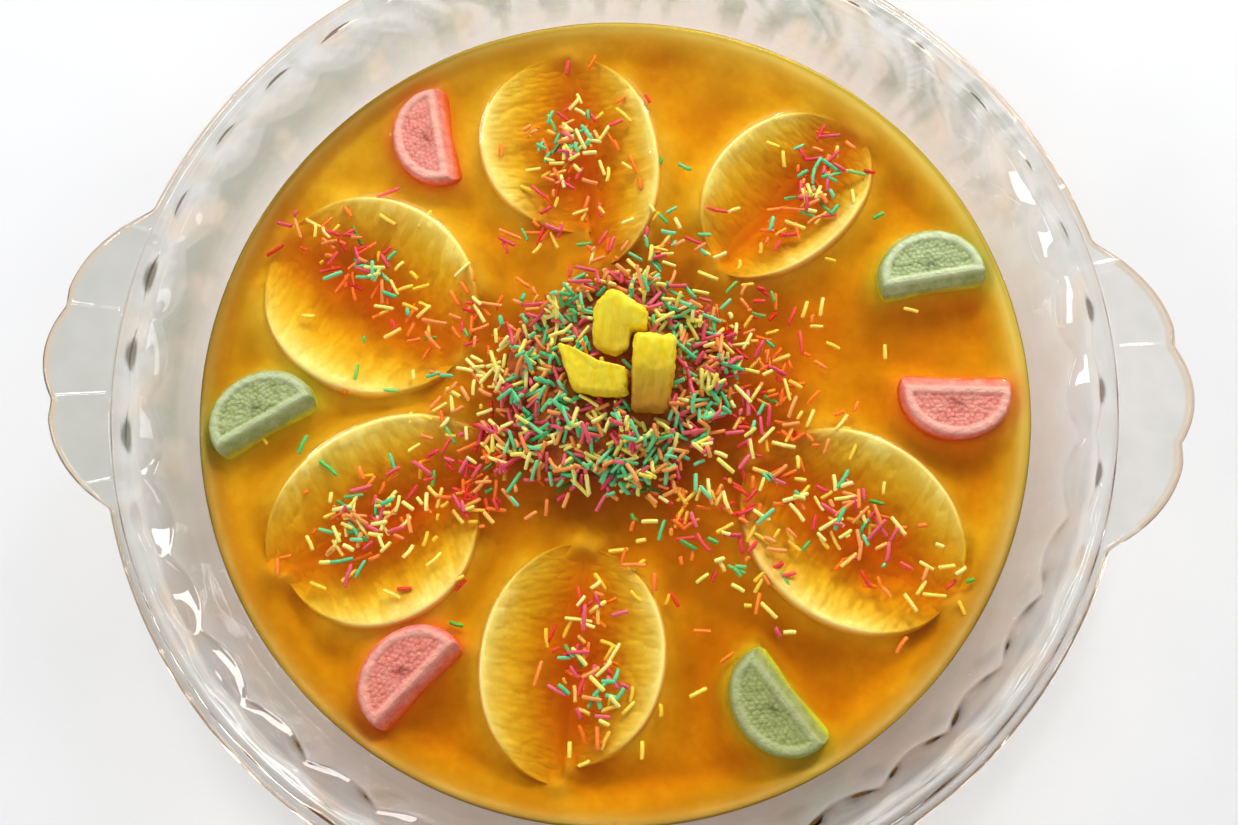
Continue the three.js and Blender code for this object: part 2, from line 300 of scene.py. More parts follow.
def colour(code):
    """A linear colour from a web colour such as "f4e08a"."""
    parts = [int(code[k:k + 2], 16) / 255 for k in (0, 2, 4)]
    linear = [p / 12.92 if p <= 0.04045 else ((p + 0.055) / 1.055) ** 2.4 for p in parts]
    return (*linear, 1)


class Paint:
    """A material with one Principled shader and short calls to add nodes to it. A colour is a web
    colour, a linear colour or a node's output."""

    def __init__(self, name, **sockets):
        self.material = bpy.data.materials.new(name)
        self.material.use_nodes = True
        self.tree = self.material.node_tree
        self.shader = self.tree.nodes["Principled BSDF"]
        self.output = self.tree.nodes["Material Output"]
        self.place = self.add("ShaderNodeTexCoord").outputs["Object"]
        self.set(**sockets)

    def put(self, node, socket, value):
        if isinstance(value, bpy.types.NodeSocket):
            self.tree.links.new(value, node.inputs[socket])
        else:
            node.inputs[socket].default_value = colour(value) if isinstance(value, str) else value

    def add(self, kind, settings=None, **sockets):
        node = self.tree.nodes.new(kind)
        for label, value in (settings or {}).items():
            setattr(node, label, value)
        for label, value in sockets.items():
            self.put(node, label.replace("_", " "), value)
        return node

    def set(self, **sockets):
        for label, value in sockets.items():
            self.put(self.shader, label.replace("_", " "), value)

    def value_of(self, attribute):
        return self.add("ShaderNodeAttribute", {"attribute_name": attribute}).outputs["Fac"]

    def noise(self, size, detail=3, stretch=None):
        """Cloudy noise with features about size millimetres across."""
        place = self.place
        if stretch:
            place = self.add("ShaderNodeMapping", Vector=place, Scale=stretch).outputs[0]
        scale = 1 / (size * METRES)
        return self.add("ShaderNodeTexNoise", Vector=place, Scale=scale, Detail=detail).outputs["Fac"]

    def cells(self, size):
        scale = 1 / (size * METRES)
        return self.add("ShaderNodeTexVoronoi", Vector=self.place, Scale=scale).outputs["Distance"]

    def spread(self, value, low, high, to_low=0.0, to_high=1.0):
        node = self.add("ShaderNodeMapRange", Value=value)
        labels = ("From Min", "From Max", "To Min", "To Max")
        for label, number in zip(labels, (low, high, to_low, to_high)):
            node.inputs[label].default_value = number
        return node.outputs["Result"]

    def patches(self, size, detail=3, low=0.35, high=0.65, most=1.0):
        """Soft patches from 0 to the most."""
        return self.spread(self.noise(size, detail), low, high, 0, most)

    def blend(self, share, first, second):
        node = self.add("ShaderNodeMix", {"data_type": "RGBA"})
        for socket, value in ((0, share), (6, first), (7, second)):
            self.put(node, socket, value)
        return node.outputs[2]

    def coats(self, base, **coats):
        """Coats of colour over a base, each laid on by the attribute of its name."""
        for attribute, coat in coats.items():
            base = self.blend(self.value_of(attribute), base, coat)
        return base

    def relief(self, height, depth, after=None):
        """Bump from a height pattern, depth millimetres deep."""
        node = self.add("ShaderNodeBump", Height=height, Distance=depth * METRES)
        if after is not None:
            self.put(node, "Normal", after)
        return node.outputs["Normal"]

    def let_lamps_through(self, tint):
        """Lamps shine straight through, as they do through thin glass and clear jelly."""
        is_lamp = self.add("ShaderNodeLightPath").outputs["Is Shadow Ray"]
        clear = self.add("ShaderNodeBsdfTransparent", Color=tint).outputs[0]
        mix = self.add("ShaderNodeMixShader", Fac=is_lamp)
        self.put(mix, 1, self.shader.outputs[0])
        self.put(mix, 2, clear)
        self.put(self.output, "Surface", mix.outputs[0])

    def absorb_rates(self, rates):
        """Absorb light inside the body, at a rate for red, green and blue for each metre."""
        density = max(rates)
        passed = tuple(1 - rate / density for rate in rates)
        node = self.add("ShaderNodeVolumeAbsorption", Color=(*passed, 1), Density=density)
        self.put(self.output, "Volume", node.outputs[0])


# --- Materials ---

GLASS_ABSORPTION = (20, 25, 31)  # for red, green and blue, for each metre
JELLY_ABSORPTION = (10, 52, 300)


def glass_material():
    paint = Paint("clear_pressed_glass", IOR=1.5, Transmission_Weight=1.0)
    clear = paint.blend(paint.patches(8, detail=4), (0.91, 0.92, 0.89, 1), (0.99, 0.99, 0.985, 1))
    # over the glass's own tone: painted shade in streaks, a painted glow, a painted warm reflection and
    # painted dark ovals
    tinted = paint.coats(clear, veil=(0.50, 0.53, 0.46, 1), glow=(0.98, 0.86, 0.72, 1),
                         warm=(0.86, 0.69, 0.50, 1), shade=(0.07, 0.07, 0.05, 1))
    smears = paint.spread(paint.noise(9, detail=4), 0.35, 0.75, 0.0, 0.05)
    paint.set(Base_Color=tinted, Roughness=smears, Normal=paint.relief(paint.noise(12, detail=1), 0.45))
    paint.let_lamps_through((0.95, 0.96, 0.955, 1))
    paint.absorb_rates(GLASS_ABSORPTION)
    return paint.material


def jelly_material():
    paint = Paint("clear_orange_jelly", IOR=1.36, Transmission_Weight=1.0)
    tint = paint.coats((1, 1, 1, 1), dye="e88a58")
    paint.set(Base_Color=tint, Roughness=paint.spread(paint.noise(6), 0.4, 0.8, 0.02, 0.06),
              Normal=paint.relief(paint.noise(5, detail=2), 0.05))
    paint.let_lamps_through(tint)
    paint.absorb_rates(JELLY_ABSORPTION)
    return paint.material


def cloudy_colour(paint):
    """Colour of the cloudy jelly, stained where the strands lie in the troughs."""
    base = paint.blend(paint.patches(16, detail=4), "d0bf7c", "ebe2a4")
    speckled = paint.blend(paint.patches(2.2, most=0.25), base, "d0b468")
    return paint.coats(speckled, stain="e88c4c")


def cloud_material():
    paint = Paint("cloudy_jelly", Roughness=0.6, Specular_IOR_Level=0.1)
    # painted light and shade at the jelly's edge: an olive band and a darker line at the very edge, dark
    # on the shaded side and bright yellow on the side toward the lamps
    coated = paint.coats(
        cloudy_colour(paint),
        rim=paint.coats("a87a24", lit="f2dc68"),
        brim=paint.coats("967410", lit="ccb038"),
        flank=paint.blend(paint.patches(14), "f0980c", "fcb628"),
        # painted pink and green glow of light through the sweets
        blush="e4704a",
        verdant="b8c060",
    )
    paint.set(Base_Color=coated)
    return paint.material


def pulp_material():
    paint = Paint("orange_pulp", Roughness=0.35, Specular_IOR_Level=0.3)
    pulp = paint.coats("d8c668", tone="eae4a0")
    mottled = paint.blend(paint.patches(1.1, high=0.7, most=0.3), pulp, "dabe5c")
    # edge: the membrane's pale line along the crest, whitened further as a painted highlight
    coated = paint.coats(mottled, depth="d6ac50", edge="fff2b4", melt=cloudy_colour(paint))
    paint.set(Base_Color=coated, Normal=paint.relief(paint.noise(0.7), 0.08))
    return paint.material


def sweet_material(name, body_colour, frost, glow, soaked, least_frost):
    paint = Paint(name, Roughness=0.55, Specular_IOR_Level=0.45)
    frosting = paint.spread(paint.value_of("crest"), 0, 1, least_frost, 0.9)
    frosted = paint.blend(frosting, body_colour, frost)
    uneven = paint.blend(paint.patches(3, detail=4, high=0.7, most=0.45), frosted, frost)
    grains = paint.cells(0.45)
    grainy = paint.blend(paint.spread(grains, 0.1, 0.6, 0.35, 0), uneven, frost)
    fine = paint.relief(grains, 0.12)
    # the part under the jelly's skin is painted brighter and richer: painted glow of light through the
    # sweet
    paint.set(Base_Color=paint.coats(grainy, soaked=soaked, sunk=glow),
              Normal=paint.relief(paint.noise(0.3, detail=4), 0.08, after=fine))
    return paint.material


def chunk_material():
    paint = Paint("yellow_fruit", Roughness=0.5, Specular_IOR_Level=0.35)
    fibres = paint.noise(1.6, stretch=(1.3, 0.5, 0.7))
    base = paint.blend(paint.spread(fibres, 0.35, 0.7), "ffe00a", "fff23c")
    # soaked colour: partly real soaking, partly painted shade
    soaked = paint.spread(paint.value_of("soaked"), 0, 1, 0, 0.95)
    paint.set(Base_Color=paint.blend(soaked, base, "ac6c10"), Normal=paint.relief(fibres, 0.06))
    return paint.material


def strand_material(name, code, pale_code):
    paint = Paint(name, Roughness=0.4, Specular_IOR_Level=0.4)
    base = paint.coats(code, tone=pale_code)
    mottled = paint.blend(paint.patches(0.9, high=0.7, most=0.5), base, pale_code)
    paint.set(Base_Color=mottled, Normal=paint.relief(paint.noise(0.35), 0.06))
    return paint.material


def mound_material():
    paint = Paint("dyed_jelly_under_strands", Roughness=0.3, Specular_IOR_Level=0.4)
    paint.set(Base_Color=paint.blend(paint.patches(3, detail=4), "a0400e", "c66818"),
              Normal=paint.relief(paint.noise(1.2), 0.3))
    return paint.material


def floor_material():
    """Pale where it is seen, and grey far off in what the glass mirrors, like a room."""
    paint = Paint("pale_floor", Roughness=0.7, Specular_IOR_Level=0.2)
    soft = paint.patches(60, detail=2, low=0.3, high=0.7)
    pale = paint.blend(soft, (0.855, 0.86, 0.87, 1), (0.885, 0.888, 0.893, 1))
    distance = paint.add("ShaderNodeVectorMath", {"operation": "LENGTH"}, Vector=paint.place)
    far = paint.spread(distance.outputs["Value"], 0.3, 0.9)
    seen = paint.add("ShaderNodeLightPath").outputs["Is Camera Ray"]
    paint.set(Base_Color=paint.blend(seen, paint.blend(far, pale, (0.28, 0.28, 0.28, 1)), pale))
    return paint.material


# --- Glass dish ---

def wall_radius(z):
    """The inner wall's radius at a level, without scoops."""
    return JELLY_EDGE_RADIUS + WALL_LEAN * (z - JELLY_LEVEL)


def off_middle(angle):
    """How far an angle in degrees is from the middle of its flute, in flutes."""
    turns = angle * FLUTES / 360
    return turns - np.round(turns)


def flute_shape(angle):
    """1 in the middle of a flute and 0 on the crease between two, for angles in degrees."""
    from_crease = 1 - 2 * np.abs(off_middle(angle))
    softened = np.hypot(from_crease, CREASE_SOFTNESS) - CREASE_SOFTNESS
    return 1 - (1 - softened) ** 2


def handle_reach(angle):
    """How far the handles reach past the rim: three scallops with notches between."""
    off = np.abs((angle + 90) % 180 - 90)
    middle = HANDLE_REACH - (HANDLE_REACH - HANDLE_NOTCH) * (off / MIDDLE_SCALLOP) ** 2
    sides = HANDLE_NOTCH + 0.6 - 0.6 * np.abs(off - SIDE_SCALLOP) / 2
    past = np.clip((off - SIDE_SCALLOP) / (HANDLE_HALF_ANGLE - SIDE_SCALLOP), 0, 1)
    reach = (np.where(off < MIDDLE_SCALLOP, middle, sides) - RIM_RADIUS) * (1 - past ** 2.2)
    return np.where(off < HANDLE_HALF_ANGLE, reach, 0)


def scoop_depth(z):
    """Depth of a scoop in its middle: it deepens up to its peak and the upright head takes it back."""
    up = SCOOP_DEPTH * (z - SCOOP_FOOT) / (SCOOP_PEAK - SCOOP_FOOT)
    back = SCOOP_DEPTH - 0.36 * (z - SCOOP_PEAK)
    return np.minimum(up, back)


def scoop_start(flute):
    """Level where the scoops begin: a wavy line round the wall."""
    return SCOOP_FOOT + SCOOP_CROWN * (1 - flute) * (SCOOP_PEAK - SCOOP_FOOT) / SCOOP_DEPTH


def inner_wall(z, flute):
    depth = scoop_depth(z) - SCOOP_CROWN * (1 - flute)
    lip = SCOOP_LIP * bump(z - scoop_start(flute), SCOOP_LIP_WIDTH)
    return wall_radius(z) + 0.5 * (depth + np.hypot(depth, 0.05)) - lip


def outer_wall(z, flute):
    """The outside is softly fluted from the jelly's level up."""
    growth = smooth_step(z, FLUTE_START, FLUTE_START + OUTER_FLUTE_GROWTH)
    soft = np.sin(0.5 * np.pi * (1 - np.sqrt(np.clip(1 - flute, 0, 1)))) ** 2
    return wall_radius(z) + WALL_THICKNESS + OUTER_FLUTE_DEPTH * growth * (soft - 0.85)


def flute_angles():
    """Directions of the dish's columns in degrees, closer together beside the creases."""
    s = (np.arange(COLUMNS_PER_FLUTE) / COLUMNS_PER_FLUTE) * 2 - 1
    inside = (s + 0.45 * np.sin(np.pi * s) / np.pi) * 180 / FLUTES
    return (np.arange(FLUTES)[:, None] * 360 / FLUTES + inside[None]).ravel()


def dish_path(angle, tab_top, edge_width, edge_centre):
    """Rings of radius and height from the middle of the floor inside, up the wall, over the rim and
    the handles, and down the outside to the middle of the base."""
    flute = flute_shape(angle)
    even = np.ones(len(angle))

    def ring(radius, z):
        return [radius * even, z * even]

    def inner(z):
        return ring(inner_wall(z * even, flute), z)

    def outer(z):
        return ring(outer_wall(z, flute), z)

    def bead(turn):
        return ring(BEAD_RADIUS + BEAD_SIZE * math.sin(turn), BEAD_LEVEL + BEAD_SIZE * math.cos(turn))

    path = [ring(r, FLOOR_THICKNESS) for r in (30, 60, 85, FLOOR_RADIUS)]
    path += bezier(path[-1], ring(100.2, 4.5), ring(102.6, 7.9), inner(CORNER_TOP), 6)
    path += [inner(z) for z in (15, 20, 23, FLUTE_START, 29, 32)]
    lip = scoop_start(flute)
    path += [inner(lip + step) for step in (-1.4, -1.0, -0.7, -0.4, -0.1, 0.2, 0.5, 0.8, 1.1)]
    path += [inner(lip + 1.1 + share * (SCOOP_PEAK - lip - 1.1)) for share in (0.25, 0.5, 0.75, 1)]
    path += [inner(z) for z in np.linspace(SCOOP_PEAK + 0.6, SCOOP_HEAD, 7)]
    start, foot = inner(SCOOP_HEAD), bead(math.radians(-62))
    path += bezier(start, [start[0] + 0.1, start[1] + 0.5], [foot[0] - 0.45, foot[1] - 0.15], foot, 5)
    path += [bead(turn) for turn in np.radians(np.linspace(-45, 70, 8))]

    from_crease = (1 - 2 * np.abs(off_middle(angle))) * HALF_FLUTE
    ridge = CREASE_RIDGE * bump(from_crease, CREASE_RIDGE_WIDTH)
    half = HANDLE_THICKNESS / 2
    tab_start = BEAD_RADIUS + BEAD_SIZE + 0.4
    for share in (0, 0.12, 0.3, 0.5, 0.7, 0.88):
        path.append([tab_start + share * np.maximum(edge_centre - tab_start, 0.05), tab_top + ridge])
    for turn in np.radians(np.linspace(90, -90, 13)):
        path.append([edge_centre + edge_width * math.cos(turn),
                     tab_top - half + half * math.sin(turn) + ridge * max(math.sin(turn), 0)])
    tuck = ring(126.8, tab_top - HANDLE_THICKNESS)
    for share in (0.15, 0.4, 0.65, 0.88):
        path.append([edge_centre + share * (tuck[0] - edge_centre), tuck[1]])
    below = outer(39.8)
    path += bezier(tuck, [tuck[0] - 0.8, tuck[1]], [below[0] + 0.3, below[1] + 0.7], below, 8)
    path += [outer(z) for z in (*np.linspace(38.5, FLUTE_START, 10), 22, 17, 12, 6)]
    path += bezier(outer(6), ring(104.3, 2.4), ring(102.8, 0), ring(BASE_RADIUS, 0), 6)
    return path + [ring(r, 0) for r in (70, 35)]


def dish_tints(angle, radius, height, edge_centre):
    """Where painted light and shade lie on the glass, from 0 to 1: a painted warm reflection, painted
    dark ovals, painted grey-green shade in streaks and a painted warm glow.
    """
    turn = np.radians(angle)
    # painted warm reflection: full on the outer edge, less on the low wall by the jelly, stronger on one
    # side
    at_edge = (height > 40) & (radius > edge_centre + 0.7)
    low_side = 0.26 + 0.12 * np.cos(turn + 0.6)
    warm = np.where(at_edge, 1.0, low_side * (1 - smooth_step(height, 26, 37)))

    # painted shade: dark ovals at the scoops' heads, slimmer on the right and clearest at the handles
    slim = np.where(np.cos(turn) > 0, 0.8, 1.0)
    across = off_middle(angle) / (OVAL_HALF_WIDTH * slim)
    oval = np.hypot((height - OVAL_LEVEL) / (OVAL_HALF_HEIGHT * slim), across)
    near_handle = 0.2 + 0.75 * smooth_step(np.abs(np.cos(turn)), 0.93, 0.98)
    shade = (1 - smooth_step(oval, 0.7, 1.1)) * (radius < 124.9) * near_handle

    # painted grey-green shade in streaks on the far wall, even under the scoops on the left, and on the
    # left handle
    far_side = smooth_step(np.cos(turn - 2.0), -0.3, 0.5)
    on_wall = smooth_step(height, 25.5, 29) * (radius < 127)
    left = smooth_step(-np.cos(turn), 0.3, 0.8)
    under_scoops = 1 - smooth_step(height - scoop_start(flute_shape(angle)), -0.5, 0.6)
    least = 0.17 + left * (0.71 * under_scoops - 0.07)
    around = turn * 118 + 7 * np.sin(height / 4)
    streaks = smooth_step(ripple(around, height * 0.7, 31, 12, 2), -0.1, 0.45)
    streaks = least + (1 - least) * (1 - 0.75 * left) * streaks
    on_handles = 0.4 * smooth_step(-np.cos(turn), 0.6, 0.9) * (radius > 127.5)
    veil = np.maximum(streaks * far_side * on_wall, on_handles)
    # painted warm glow in patches on the wall
    patches = smooth_step(ripple(around, height * 1.2, 32, 26, 2), 0.25, 0.8)
    return {"warm": warm, "shade": shade, "veil": veil, "glow": 0.7 * patches * on_wall}


def dish_piece():
    angle = flute_angles()
    turn = np.radians(angle)
    reach = handle_reach(angle)
    on_handle = np.clip(reach / 3, 0, 1)
    tab_top = DISH_HEIGHT - FLANGE_DROP - 0.3 * on_handle
    edge_width = 1.7 + 0.8 * on_handle
    edge_centre = RIM_RADIUS + reach - edge_width
    path = dish_path(angle, tab_top, edge_width, edge_centre)
    radius = np.array([r for r, _ in path])
    height = np.array([z for _, z in path])
    wobble = 0.12 * np.sin(np.radians(3 * angle) + 1) + 0.1 * np.sin(np.radians(7 * angle) + 2)
    radius = radius + wobble * smooth_step(height, 26, 34) * (height < 43)
    rings = np.stack([radius * np.cos(turn), radius * np.sin(turn), height], axis=-1)
    points, faces = closed_body(rings[::-1], (0, 0, 0), (0, 0, FLOOR_THICKNESS))
    tints = dish_tints(angle, radius, height, edge_centre)
    add_piece("dish_glass", points, faces, glass_material(), "clear_glass", ["glass_dish"],
              **{label: with_ends(share[::-1]) for label, share in tints.items()})


# --- Petals of orange segments ---

def to_petal(petal, along, across):
    """World x and y from distances along and across a petal."""
    return placed(petal[0], petal[1], along, across)


def from_petal(petal, x, y):
    """Distances along and across a petal from world x and y."""
    return placed((0, 0), -petal[1], x - petal[0][0], y - petal[0][1])


def back_height(t):
    """Height of a segment's back edge, where t runs from -1 to 1 along it."""
    return JELLY_LEVEL + SEGMENT_PROUD - 1.4 * t ** 2 - 3.2 * t ** 6


def under_height(t):
    return back_height(t) - SEGMENT_THICKNESS * (1 - 0.42 * t ** 2)


def face_height(t, q):
    """Height of the sloping face, where q is 0 at the thin edge and 1 at the back."""
    thin = under_height(t) + SEGMENT_THIN_EDGE
    return thin + (back_height(t) - thin) * (q - 0.16 * q * (1 - q))


def drawn_to_tip(t, z):
    """Heights drawn together to the level of the tips at a segment's ends."""
    return TIP_LEVEL + (z - TIP_LEVEL) * np.sqrt(1 - t ** 6)


def sac_pattern(along, across, seed, width=2.3, length=7.5):
    """Juice sacs lying across a segment: their relief from 0 to 1 and a random tone for each."""
    rng = np.random.default_rng(seed)
    seeds = np.array([(u + rng.uniform(-0.35, 0.35) * width, v + rng.uniform(-0.45, 0.45) * length)
                      for u in np.arange(-36, 37, width)
                      for v in np.arange(-3, 34, length * 0.8)])
    tones = rng.uniform(0, 1, len(seeds))
    squeeze = np.array([2 / width, 2 / length])
    flat = np.stack([np.ravel(along + 0.012 * along * across), np.ravel(across)], axis=-1) * squeeze
    gap = np.linalg.norm(flat[:, None, :] - (seeds * squeeze)[None], axis=-1)
    nearest = np.partition(gap, 1, axis=1)[:, :2]
    relief = np.clip((nearest[:, 1] - nearest[:, 0]) * 1.3, 0, 1)
    relief = relief * (2 - relief)
    return relief.reshape(along.shape), tones[gap.argmin(axis=1)].reshape(along.shape)


def segment_section(t, local):
    """Distances from the axis and heights round a segment's section at each station: the face, the
    back, the underside and the thin edge. Then the shares of the way across the face."""
    back, under = back_height(t), under_height(t)
    q = np.linspace(0, 1, 30)[None]
    b = np.linspace(0.08, 1, 12)[None]
    g = np.linspace(0.15, 1, 6)[None]
    bulge = np.sin(np.pi * np.minimum(b * 1.1, 1)) * np.minimum(1.5, 0.12 * local + 0.3)
    out = [
        local * q,
        local * (1 - 0.1 * b ** 2) + bulge,
        local * 0.9 * (1 - g),
        0 * local,
    ]
    z = [
        face_height(t, q) - CREST_DROP * smooth_step(q, 0.93, 1.0) ** 2,
        back - CREST_DROP - (back - under) * (0.02 + 0.98 * b) + CREST_DROP * b,
        under + 0 * g,
        under + SEGMENT_THIN_EDGE / 2,
    ]
    return SEGMENT_INNER + np.concatenate(out, axis=1), np.concatenate(z, axis=1), q


def segment_piece(number, segment, material):
    petal, half_length, width, shift, side = segment
    stations = 170
    tau = np.linspace(-1, 1, stations + 2)[1:-1] * np.pi / 2
    t = np.sin(tau)[:, None]
    local = (width + SEGMENT_REACH) * np.cos(tau)[:, None]
    n, z, q = segment_section(t, local)
    on_face = slice(0, q.shape[1])
    along = np.broadcast_to(t * half_length + shift, n.shape)
    share = np.clip((n - SEGMENT_INNER) / local, 0, 1)

    relief, tone = sac_pattern(along, n, 40 + number)
    face = np.zeros(n.shape)
    face[:, on_face] = smooth_step(q, 0, 0.1) * (1 - smooth_step(q, 0.9, 0.97))
    z = z + face * (0.32 * relief - 0.18) + face * 0.3 * ripple(along, n, number, 16)
    # edge: the membrane's pale line along the crest, whitened further as a painted highlight
    edge = np.zeros(n.shape)
    edge[:, on_face] = smooth_step(q, 0.955, 0.99)
    edge[:, on_face.stop:on_face.stop + 3] = (0.7, 0.3, 0.1)
    values = {  # for each point, and for the two tips
        "tone": (tone, 0.5),
        "edge": (edge * (1 - 0.8 * smooth_step(np.abs(t), 0.55, 0.85)), 0),
        "depth": (np.where(face > 0, 1 - smooth_step(share, 0.0, 0.6), 0.6), 0.5),
        "melt": (np.maximum(1 - smooth_step(share, 0.2, 0.62), smooth_step(np.abs(t), 0.6, 0.84)), 1),
        "stain": (0.4 * np.exp(-(n / 7) ** 2 - (along / 26) ** 4), 0.3),
    }

    x, y = to_petal(petal, along, side * n)
    tips = [(*to_petal(petal, sign * half_length + shift, side * (SEGMENT_INNER + 1)), TIP_LEVEL)
            for sign in (-1, 1)]
    outward = slice(None, None, -side)  # so that the faces look out on either side of the axis
    rings = np.stack([x, y, drawn_to_tip(t, z)], axis=-1)[:, outward]
    points, faces = closed_body(rings, *tips)
    add_piece(f"segment_{number:02d}", points, faces, material, "orange_pulp",
              [f"orange_segment_{number:02d}"],
              **{label: with_ends(of_rings[:, outward], of_tips, of_tips)
                 for label, (of_rings, of_tips) in values.items()})


def add_segments():
    material = pulp_material()
    for number, segment in enumerate(SEGMENTS, 1):
        segment_piece(number, segment, material)


# --- Half-moon sweets ---

def sweet_outline(count):
    """The half-moon's outline, evenly spaced: straight side along Y near x = 0 and a little hollow,
    round side to +X."""
    half = SWEET_LENGTH / 2 - SWEET_BEVEL
    reach = SWEET_DEPTH - 2 * SWEET_BEVEL - SWEET_WAIST
    end = math.acos(-SWEET_WAIST / reach)
    turn = np.linspace(-end, end, 400)
    core = np.stack([SWEET_BEVEL + SWEET_WAIST + reach * np.cos(turn), half * np.sin(turn)], axis=-1)
    facing = np.linspace(-np.pi, np.pi, 721)[:-1]
    normal = np.stack([np.cos(facing), np.sin(facing)], axis=-1)
    outline = core[(normal @ core.T).argmax(axis=1)] + SWEET_BEVEL * normal
    outline = np.concatenate([outline, outline[:1]])
    length = np.concatenate([[0], np.cumsum(np.linalg.norm(np.diff(outline, axis=0), axis=1))])
    at = np.linspace(0, length[-1], count + 1)[:-1]
    x, y = (np.interp(at, length, outline[:, k]) for k in (0, 1))
    hollow = 0.8 * bump(y, 7) * (x < SWEET_DEPTH / 2)
    return np.stack([x + hollow, y], axis=-1)


def sweet_top(x, y, outline, seed):
    """Height below the top, and how much each point is a frosted crest."""
    gap = distance_to(outline, x, y)
    into = np.clip(SWEET_ROUNDING - gap, 0, SWEET_ROUNDING)
    edge = np.sqrt(np.clip(SWEET_ROUNDING ** 2 - into ** 2, 0, None)) - SWEET_ROUNDING
    slope = -SWEET_SLOPE * (np.hypot(np.clip(SWEET_RIDGE - x, 0, None), 0.5) - 0.5)
    recess = smooth_step(np.minimum(gap - 2.2, 1.3 * (x - SWEET_RIDGE - 0.7)), 0, 1.3)
    rng = np.random.default_rng(seed)
    pitch = 1.35
    seeds = []
    for k, a in enumerate(np.arange(2, 18, pitch * 0.87)):
        for b in np.arange(-15, 15.1, pitch):
            seeds.append((a + rng.uniform(-0.35, 0.35), b + rng.uniform(-0.35, 0.35) + 0.7 * (k % 2)))
    drupe = np.clip(1 - (distance_to(np.array(seeds), x, y) / 0.85) ** 2, 0, 1)
    z = np.minimum(edge, slope) + recess * (-0.75 + 0.3 * drupe) + 0.16 * ripple(x, y, seed, 5, 3)
    on_crest = smooth_step(gap, 0.4, 1.4) * smooth_step(x, SWEET_RIDGE - 1.6, SWEET_RIDGE)
    crest = np.clip((1 - recess) * on_crest, 0, 1)
    return z, np.clip(crest + 0.45 * recess * drupe, 0, 1)


def sweet_kind(sweet):
    """Pink or green, as its node says."""
    return sweet[0].split("_")[1]


def sweet_piece(sweet, material):
    """A sweet from rings up its side and in to the middle of its top."""
    node, at, direction, proud, tilt, lost = sweet
    seed = int(abs(at[0]) * 10)
    rng = np.random.default_rng(seed)
    outline = sweet_outline(250)
    middle = np.array([8.0, 0])
    shares = np.concatenate([np.linspace(1, 0.72, 15), np.linspace(0.70, 0.03, 30)])
    top = middle + shares[:, None, None] * (outline - middle)[None]
    z, crest = sweet_top(top[..., 0], top[..., 1], outline, seed)
    drop = np.array([0.97, 0.9, 0.7, 0.5, 0.3, 0.15, 0.05])[:, None]
    tuck = np.array([0.93, 0.985, 1, 1, 1, 1, 1])[:, None, None]
    side_z = z[0] + (-SWEET_THICKNESS - z[0]) * drop
    xy = np.concatenate([middle + tuck * (outline - middle)[None], top])
    z = np.concatenate([side_z, z])
    crest = np.concatenate([np.zeros(side_z.shape), crest])
    z = z + rng.normal(0, 0.035, z.shape)
    rings = np.concatenate([xy, z[..., None]], axis=-1)
    local, faces = closed_body(rings, (*middle, -SWEET_THICKNESS), (*middle, float(z[-1].mean())))

    lean = math.radians(tilt)
    along = local[:, 0] * math.cos(lean) + local[:, 2] * math.sin(lean)
    up = local[:, 2] * math.cos(lean) - local[:, 0] * math.sin(lean)
    points = np.stack([*placed(at, direction, along, local[:, 1]), up + JELLY_LEVEL + proud], axis=-1)
    # painted glow on the part under the jelly's skin
    add_piece(f"{node}_frosted", points, faces, material, f"{sweet_kind(sweet)}_sweet", [node],
              crest=with_ends(crest, 0, 0.5),
              sunk=1 - smooth_step(points[:, 2], JELLY_LEVEL - 2.0, JELLY_LEVEL + 0.2),
              soaked=np.full(len(points), lost))


def add_sweets():
    materials = {
        "pink": sweet_material("pink_sweet", "dc5042", "ffbaa6", "dc6448", "d85a40", 0.12),
        "green": sweet_material("green_sweet", "869c3e", "dae4b4", "cae852", "8c9038", 0.05),
    }
    for sweet in SWEETS:
        sweet_piece(sweet, materials[sweet_kind(sweet)])


# --- Jelly ---

def sweet_waterlines():
    """World outlines of the sweets at the jelly's level."""
    outlines = []
    for _, at, direction, proud, _, _ in SWEETS:
        outline = sweet_outline(160)
        along = np.maximum(outline[:, 0], SWEET_RIDGE - proud / SWEET_SLOPE - 0.2)
        outlines.append(np.stack(placed(at, direction, along, outline[:, 1]), axis=-1))
    return outlines


def crest_lines():
    """Points along the segments' back edges with the height of the jelly film over each."""
    points = []
    t = np.linspace(-0.72, 0.72, 120)
    for petal, half_length, width, shift, side in SEGMENTS:
        n = SEGMENT_INNER + width * np.sqrt(1 - t ** 2)
        points.append(np.stack(to_petal(petal, t * half_length + shift, side * n), axis=-1))
    return np.concatenate(points), np.tile(0.8 - 1.5 * t ** 2, len(points))


def petal_tips():
    return np.array([to_petal(petal, sign * half_length + shift, side * 1.0)
                     for petal, half_length, _, shift, side in SEGMENTS
                     for sign in (-1, 1)])


def jelly_height(x, y):
    """Height of the jelly's skin: a meniscus at the wall and the sweets, a film over the segments."""
    z = JELLY_LEVEL + 0.10 * ripple(x, y, 11, 46, 2) + 0.025 * ripple(x, y, 12, 9, 2)
    z = z + 0.4 * np.exp(-(JELLY_REACH - np.hypot(x, y)) / 1.1)
    points, lifts = crest_lines()
    gap, which = nearest_of(points, x, y)
    z = z + np.clip(lifts[which], 0, None) * bump(gap, 1.1)
    for outline in sweet_waterlines():
        z = z + 0.55 * np.exp(-distance_to(outline[::2], x, y) / 0.8)
    return z


